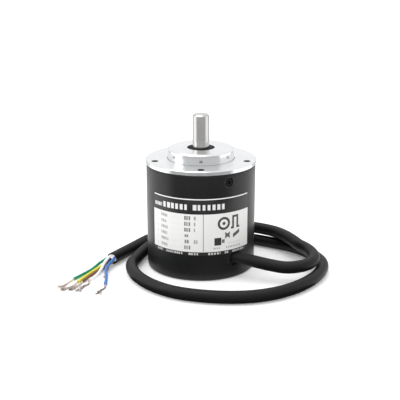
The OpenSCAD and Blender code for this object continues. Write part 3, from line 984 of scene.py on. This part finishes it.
def step_in(bm: WorkMesh, rim: Rim, about: Vector, share: float | Point, move: Vector) -> Rim:
    """Carries a rim on: a new ring of faces that ends in a scaled and moved copy of the rim.

    Args:
        bm: the mesh.
        rim: the open edges to carry on.
        about: the centre to scale about.
        share: the scale, or one along each of X, Y and Z.
        move: how far the new rim moves.

    Returns:
        The new rim's edges.
    """
    made = bmesh.ops.extrude_edge_only(bm, edges=rim)["geom"]
    verts = [g for g in made if isinstance(g, bmesh.types.BMVert)]
    scale = share if isinstance(share, tuple) else (share,) * 3
    bmesh.ops.scale(bm, vec=scale, space=Matrix.Translation(-about), verts=verts)
    bmesh.ops.translate(bm, vec=move, verts=verts)
    return [g for g in made if isinstance(g, bmesh.types.BMEdge) and g.is_boundary]


def placed(name: str, data: bpy.types.ID) -> bpy.types.Object:
    """Puts a mesh, a camera or a light into the scene.

    Args:
        name: the new object's name.
        data: what it holds.

    Returns:
        The object, unturned and at the origin.
    """
    made = bpy.data.objects.new(name, data)
    bpy.context.scene.collection.objects.link(made)
    return made


def meshed(name: str, bm: WorkMesh) -> bpy.types.Object:
    """Turns a work mesh, which is used up, into an object.

    Args:
        name: the name of the object and of its mesh.
        bm: the work mesh.

    Returns:
        The object.
    """
    mesh = bpy.data.meshes.new(name)
    bm.to_mesh(mesh)
    bm.free()
    return placed(name, mesh)


def piece(name: str, bm: WorkMesh, slot: Slot) -> bpy.types.Object:
    """Turns a finished work mesh into a piece that rides on the housing.

    Args:
        name: the piece's name.
        bm: its work mesh, which is used up.
        slot: the finish it takes.

    Returns:
        The piece.
    """
    bmesh.ops.recalc_face_normals(bm, faces=bm.faces)
    made = meshed(name, bm)
    mesh = made.data
    mesh.shade_smooth()
    mesh.set_sharp_from_angle(angle=SHARP_ANGLE)
    mesh.materials.append(FINISHES[slot].material())
    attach(made, HOUSING)
    LOG.info("%s: %d faces", name, len(mesh.polygons))
    return made


@dataclass
class Sleeve:
    """A round sleeve along a route, cut off at its far end so that its wall and bore show."""

    name: str
    slot: Slot
    node: str
    route: Route
    radius: float
    bore: float
    steps: int = 6
    sides: int = 16
    back: float = 0.0
    flap: float = 0.0
    flap_way: Point = (0.0, 0.0, 1.0)
    depth: float = 2.0 * MM
    chamfer: float = 0.06 * MM
    chamfer_rise: float = 0.04 * MM

    def line(self) -> list[Vector]:
        """The middle line, in metres, never so low that the sleeve sinks below the floor.

        Returns:
            The line's points.
        """
        made = smooth(self.route, self.steps)
        if self.back:
            made.insert(0, made[0] - (made[1] - made[0]).normalized() * self.back)
        return [Vector((p.x, p.y, max(p.z, self.radius + FLOOR_GAP))) for p in made]

    def build(self) -> bpy.types.Object:
        """Sweeps the sleeve, closes its near end, and cuts its far end open.

        Returns:
            The piece.
        """
        line = self.line()
        bm = swept(self.name, [line], self.radius, self.sides)
        end, way = line[-1], (line[-1] - line[-2]).normalized()
        bmesh.ops.edgeloop_fill(bm, edges=rim_near(bm, line[0], self.radius * 1.2))
        rim = rim_near(bm, end, self.radius * 1.2)
        if self.flap:
            self.lengthen(rim, end, way)
        rim = step_in(bm, rim, end, 1.0 - self.chamfer / self.radius, way * self.chamfer_rise)
        rim = step_in(bm, rim, end, self.bore / self.radius, Vector())
        rim = step_in(bm, rim, end, 1.0, way * -self.depth)
        bmesh.ops.edgeloop_fill(bm, edges=rim)
        made = piece(self.name, bm, self.slot)
        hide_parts(self.node)
        return made

    def lengthen(self, rim: Rim, end: Vector, way: Vector) -> None:
        """Draws one side of the rim out into the flap that the stripping tool left.

        Args:
            rim: the open edges at the cut.
            end: the rim's centre.
            way: the sleeve's direction there.
        """
        up = Vector(self.flap_way)
        up = (up - way * up.dot(way)).normalized()
        for vert in {v for e in rim for v in e.verts}:
            lean = max(0.0, (vert.co - end).normalized().dot(up))
            vert.co += way * self.flap * lean**4


@dataclass
class BareEnds:
    """The strands of each wire's bare end: twisted together, and spread at the tip."""

    routes: tuple[Route, ...]
    strand: float = 0.1 * MM
    count: int = 10
    turn: float = 5.5 * MM
    spacing: float = 2.1
    fray: float = 2.1 * MM
    fray_start: float = 0.3
    flatness: float = 0.6
    seed: int = 11

    def build(self) -> bpy.types.Object:
        """Winds every strand round its wire's middle line.

        Returns:
            The piece that holds all the strands.
        """
        chance = random.Random(self.seed)
        lines = [line for route in self.routes for line in self.strands(route, chance)]
        bm = swept("strands", lines, self.strand, 8)
        for line in lines:
            for end in (line[0], line[-1]):
                bmesh.ops.edgeloop_fill(bm, edges=rim_near(bm, end, self.strand * 1.1))
        made = piece("bare_strands", bm, Slot.TIN)
        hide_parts("wire_cores")
        return made

    def strands(self, route: Route, chance: random.Random) -> list[list[Vector]]:
        """The middle lines of one bare end's strands.

        Args:
            route: the bare end's own middle line, in millimetres.
            chance: where the small differences come from.

        Returns:
            One line for each strand, in metres.
        """
        spine = smooth(route, 8)
        spine.insert(0, spine[0] * 2 - spine[1])
        whole = sum((b - a).length for a, b in zip(spine, spine[1:]))
        made = []
        for strand in range(self.count):
            lean, spread = chance.uniform(0.0, math.tau), chance.uniform(0.4, 1.0)
            line, gone = [], 0.0
            for here, there in zip(spine, spine[1:] + [spine[-1] * 2 - spine[-2]]):
                way = (there - here).normalized()
                side = way.cross(Vector((0, 0, 1))).normalized()
                over = side.cross(way)
                share = gone / whole
                angle = math.tau * (strand / (self.count - 1) + gone / self.turn)
                out = 0.0 if strand == self.count - 1 else self.spacing * self.strand
                fray = max(0.0, share - self.fray_start) ** 1.5 * spread * self.fray
                off = (side * math.cos(angle) + over * math.sin(angle)) * out
                off += (side * math.cos(lean) + over * math.sin(lean) * self.flatness) * fray
                place = here + off
                place.z = max(place.z, self.strand + FLOOR_GAP)
                line.append(place)
                gone += (there - here).length
            made.append(line)
        return made


@dataclass
class Wrap:
    """The white wrap that shows in the lead's mouth: a short curled sheet, cut at a slant."""

    end: Point = (-32.9, -2.9, 2.3)
    way: Point = (-0.54, -0.84, 0.0)
    radius: float = 1.78 * MM
    length: float = 2.3 * MM
    sheet: float = 0.09 * MM
    rows: int = 6
    tucked: float = 1.2 * MM
    rolled: float = 1.6
    cut_at: float = 0.62
    taper: Point = (0.985, 0.955, 1.0)
    slant: Point = (0.45, -0.85, 0.75)

    def build(self) -> bpy.types.Object:
        """Rolls a tube, cuts it at a slant and gives it a thickness.

        Returns:
            The piece.
        """
        bm = bmesh.new()
        bmesh.ops.create_circle(bm, segments=24, radius=self.radius)
        rim = bm.edges[:]
        rise = Vector((0, 0, self.length * self.rolled / self.rows))
        for _ in range(self.rows):
            rim = step_in(bm, rim, Vector(), self.taper, rise)
        whole = [*bm.verts, *bm.edges, *bm.faces]
        cut = (0, 0, self.length * self.cut_at)
        bmesh.ops.bisect_plane(bm, geom=whole, plane_co=cut, plane_no=self.slant, clear_outer=True)
        bmesh.ops.remove_doubles(bm, verts=bm.verts, dist=1.0e-6)
        bmesh.ops.recalc_face_normals(bm, faces=bm.faces)
        bmesh.ops.solidify(bm, geom=bm.faces[:], thickness=self.sheet)
        way = Vector(self.way).normalized()
        side = way.cross(Vector((0, 0, 1))).normalized()
        turn = Matrix((side, side.cross(way), way)).transposed().to_4x4()
        start = Vector(self.end) * MM - way * self.tucked
        bmesh.ops.transform(bm, matrix=Matrix.Translation(start) @ turn, verts=bm.verts)
        return piece("inner_wrap", bm, Slot.WIRE_WHITE)


CABLE_ROUTE: Route = (
    (2.3, -9.6, 7.2), (12.9, -15, 7.2), (18.2, -17.6, 7), (24, -19.8, 6.4), (29.9, -21.1, 5.9),
    (35.4, -19.8, 5.9), (39.3, -16.2, 6), (40.8, -11.2, 6.3), (39.5, -5, 6.5), (36.6, -0.1, 6.7),
    (35, 3.9, 6.8), (32.3, 9.7, 6.8), (28.4, 14.9, 6.8), (21.5, 19.4, 6.8), (12.4, 23, 6.8),
    (3, 24.6, 6.8), (-5.6, 22.7, 5.5), (-12.7, 18.6, 3.5), (-18.4, 12.9, 2.4), (-21.8, 5, 2.25),
    (-23.9, -2.6, 2.2), (-25.2, -9.8, 2.2), (-23, -18.8, 2.2), (-17.4, -27.6, 2.2),
    (-9, -34.4, 2.2), (2, -38, 2.2), (14, -38.6, 2.2), (25, -35.4, 2.2), (34.4, -28.4, 2.2),
    (41.4, -18.8, 2.2), (44.4, -8.6, 2.2), (42.3, 0.3, 2.2), (36.3, 8.8, 2.2), (27.2, 15, 2.2),
    (14.4, 21.4, 2.2), (1.4, 26.6, 2.2), (-10.8, 25.7, 2.2), (-19.8, 18.9, 2.2), (-25.7, 9.5, 2.2),
    (-32.9, -2.9, 2.3),
)
WIRE_ROUTES: dict[str, Route] = {
    "green": (
        (-34.1, -2.4, 2.7), (-35.0, -3.7, 2.5), (-37.3, -5.6, 1.6), (-39.6, -9.4, 0.7),
        (-42.6, -14.6, 0.6), (-45.1, -18.6, 0.6),
    ),
    "white": (
        (-33.0, -3.2, 3.5), (-33.8, -4.5, 3.5), (-35.2, -7.6, 2.6), (-36.4, -12, 1.1),
        (-37.8, -16.4, 0.6), (-39.5, -19.8, 0.6),
    ),
    "yellow": (
        (-33.8, -2.6, 1.4), (-34.8, -4.2, 1.2), (-36.9, -7.4, 0.8), (-39.2, -11.6, 0.6),
        (-41.6, -17.2, 0.6), (-43.3, -21.4, 0.6),
    ),
    "brown": (
        (-32.8, -3.3, 1.1), (-33.8, -4.9, 0.9), (-35.6, -7.9, 0.6), (-37.8, -12, 0.6),
        (-39.9, -16.6, 0.6), (-41.6, -20.8, 0.6),
    ),
    "black": (
        (-33.1, -3.2, 2.3), (-33.6, -5, 2.25), (-34, -6.9, 1.75), (-34.3, -9.3, 0.8),
        (-34.4, -11.4, 0.6), (-34.3, -13.4, 0.6),
    ),
    "blue": (
        (-32.1, -3.8, 2.9), (-32.4, -5.5, 2.7), (-33.5, -8.4, 2.2), (-34.3, -12.5, 1.9),
        (-33.6, -18.6, 1.1), (-33.5, -23.8, 0.6),
    ),
}
CORE_ROUTES: tuple[Route, ...] = (
    ((-45.2, -18.8, 0.6), (-46.2, -20.6, 0.35), (-47.4, -23.2, 0.3), (-49.1, -26.4, 0.3)),
    ((-39.6, -20.1, 0.6), (-39.4, -22.4, 0.35), (-41.2, -25.2, 0.3), (-42.4, -29, 0.3)),
    ((-43.5, -21.7, 0.6), (-44.3, -23.6, 0.35), (-45.8, -25.8, 0.3), (-47.8, -28.4, 0.3)),
    ((-41.8, -21.1, 0.6), (-42.3, -23, 0.35), (-43.6, -25.4, 0.3), (-45.2, -28.2, 0.3)),
    ((-34.2, -13.7, 0.6), (-34.1, -14.6, 0.4), (-34.1, -15.5, 0.3), (-34, -16.4, 0.3)),
    ((-33.5, -24.1, 0.6), (-33.4, -26, 0.35), (-34.6, -28.6, 0.3), (-35.4, -31.4, 0.3)),
)


@dataclass
class Lead:
    """The cable with its stripped end: jacket, six wires, their strands and the wrap."""

    diameter: float = 4.4 * MM
    length: float = 0.36
    wire: float = 1.1 * MM

    def build(self) -> None:
        sleeve = Sleeve(
            "lead_jacket", Slot.CABLE_BLACK, "cable_jacket", CABLE_ROUTE, self.diameter / 2,
            1.86 * MM, steps=8, sides=24, flap=0.55 * MM, flap_way=(-0.35, 0.2, 1.0), depth=3.0 * MM,
        )
        jacket = sleeve.build()
        parts = []
        for colour, route in WIRE_ROUTES.items():
            node = f"wire_{colour}"
            name = f"insulation_{colour}"
            wire = Sleeve(name, Slot(node), node, route, self.wire / 2, 0.34 * MM, back=2.2 * MM)
            parts.append(wire.build())
        parts += [BareEnds(CORE_ROUTES).build(), Wrap().build()]
        [tuple(p) for p in sleeve.line()]


@dataclass
class CarriedParts:
    """CAD nodes whose shape is right, which keep it and take a better finish."""

    title: str
    nodes: tuple[str, ...]

    def dress(self, frame: dict[str, Any]) -> None:
        """Gives each node the finish of its slot.

        Args:
            frame: what the frame's loading returned.
        """
        slots = {row["node"]: Slot(row["material_slot"]) for row in frame["record"]["subparts"]}
        for name in self.nodes:
            mesh = frame["nodes"][name].data
            mesh.materials.clear()
            mesh.materials.append(FINISHES[slots[name]].material())
            LOG.info("%s: %s in %s", self.title, name, slots[name].value)


BEARING_PARTS = ("outer_race", "inner_race", "shields", "balls", "cage")
SUB_ASSEMBLIES = (
    CarriedParts("housing", (
        "housing_cover", "front_flange", "cover_gasket", "cover_screws", "label", "shaft_seal",
        "cable_grommet", "cable_clamp", "clamp_screws",
    )),
    CarriedParts("rotor", (
        "shaft", "shaft_clips", "inner_spacer", "disc_hub", "hub_screw", "code_disc",
        "disc_clamp_ring",
    )),
    CarriedParts("bearings", (
        *(f"{end}_{part}" for part in BEARING_PARTS for end in ("front", "rear")),
        "outer_spacer", "wave_washer", "snap_ring",
    )),
    CarriedParts("pickup", (
        "lamp_bracket", "lamp", "bracket_screw", "slit_mask", "light_sensor", "sensor_riser",
    )),
    CarriedParts("electronics", (
        "circuit_board", "board_standoffs", "board_screws", "signal_chip", "driver_chips",
        "capacitors", "chip_resistors", "board_plug", "inner_leads",
    )),
)


@dataclass
class Studio:
    """The camera, a pale floor, soft light, and the cards that give the metal its dark bands."""

    eye: Point = (-0.33 * MM, -314.1 * MM, 121.6 * MM)
    pitch: float = 17.24
    lens: float = 80.55
    sensor: float = 36.0
    sky: float = 1.0
    card_radius: float = 150.0 * MM
    floor_radius: float = 6.0
    floor_drop: float = 0.02 * MM

    def build(self) -> None:
        """Sets the camera, the light and the floor."""
        self.camera()
        self.world()
        self.floor()
        self.lamp("top_light", (-0.15, 0.1, 0.95), 0.9, 4.2)
        self.lamp("left_light", (-0.8, -0.15, 0.5), 0.55, 2.2)
        self.card("front_card", (-156.0, -24.0), (0.0, 120.0 * MM), 0.6)
        self.card("back_card", (33.0, 147.0), (0.0, 44.0 * MM), 0.5)
        self.card("front_mat", (-150.0, -30.0), (-126.0 * MM, 0.0), 0.05)
        bpy.context.scene.view_settings.view_transform = "Standard"

    def camera(self) -> None:
        """Stands the camera where the object is seen a little from above."""
        data = bpy.data.cameras.new("camera")
        data.lens = self.lens
        data.sensor_width = self.sensor
        data.clip_start = 0.01
        data.clip_end = 100.0
        made = placed("camera", data)
        made.location = self.eye
        made.rotation_euler = (math.radians(90.0 - self.pitch), 0.0, 0.0)
        bpy.context.scene.camera = made

    def world(self) -> None:
        """An even, nearly white surround."""
        world = bpy.data.worlds.new("studio")
        bpy.context.scene.world = world
        world.use_nodes = True
        back = world.node_tree.nodes["Background"]
        back.inputs["Color"].default_value = (1.0, 1.0, 1.0, 1.0)
        back.inputs["Strength"].default_value = self.sky

    def floor(self) -> None:
        """A wide, plain, pale floor just under the object."""
        bm = bmesh.new()
        bmesh.ops.create_circle(bm, cap_ends=True, segments=96, radius=self.floor_radius)
        bmesh.ops.translate(bm, vec=(0, 0, -self.floor_drop), verts=bm.verts)
        made = meshed("floor", bm)
        paint = Moulded("pale_floor", (0.9, 0.9, 0.9), 0.7, 0.0, 40.0, 1.0e-6, 0.01, 1.3, 0.2)
        made.data.materials.append(paint.material())

    def lamp(self, name: str, place: Point, size: float, power: float) -> None:
        """A square soft light that points at the object.

        Args:
            name: the light's name.
            place: where it stands, in metres.
            size: its side, in metres.
            power: its power in watts.
        """
        data = bpy.data.lights.new(name, "AREA")
        data.size = size
        data.energy = power
        made = placed(name, data)
        made.location = place
        made.rotation_euler = (-Vector(place)).to_track_quat("-Z", "Y").to_euler()

    def card(self, name: str, angles: tuple[float, float], reach: tuple[float, float], tone: float) -> None:
        """A curved grey card round the object that only its polished faces see.

        Args:
            name: the card's name.
            angles: where it starts and ends, in degrees round from +X.
            reach: how far it runs inwards along the floor (below zero) or up from it, in metres.
            tone: its brightness.
        """
        start, end = (math.radians(a) for a in angles)
        bm = bmesh.new()
        foot = bmesh.ops.create_vert(bm, co=(self.card_radius, 0, 0))["vert"]
        raised = bmesh.ops.extrude_vert_indiv(bm, verts=foot)
        bmesh.ops.translate(bm, vec=(min(reach[0], 0.0), 0, reach[1]), verts=raised["verts"])
        bmesh.ops.rotate(bm, matrix=Matrix.Rotation(start, 3, "Z"), verts=bm.verts)
        bmesh.ops.spin(
            bm, geom=[*bm.verts, *bm.edges], axis=(0, 0, 1), cent=(0, 0, 0), angle=end - start, steps=48
        )
        made = meshed(name, bm)
        paint, graph = blank(name)
        glow = graph.node("ShaderNodeEmission")
        graph.put(glow.inputs["Color"], (tone, tone, tone))
        graph.put(graph.node("ShaderNodeOutputMaterial").inputs["Surface"], glow.outputs[0])
        made.data.materials.append(paint)
        for ray in ("camera", "diffuse", "shadow", "transmission"):
            setattr(made, f"visible_{ray}", False)


def main() -> None:
    """Builds the studio, the lead and the finishes."""
    logging.basicConfig(level=logging.INFO, format="%(name)s %(message)s")
    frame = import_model()
    Studio().build()
    Lead().build()
    for group in SUB_ASSEMBLIES:
        group.dress(frame)


if __name__ == "__main__":
    main()
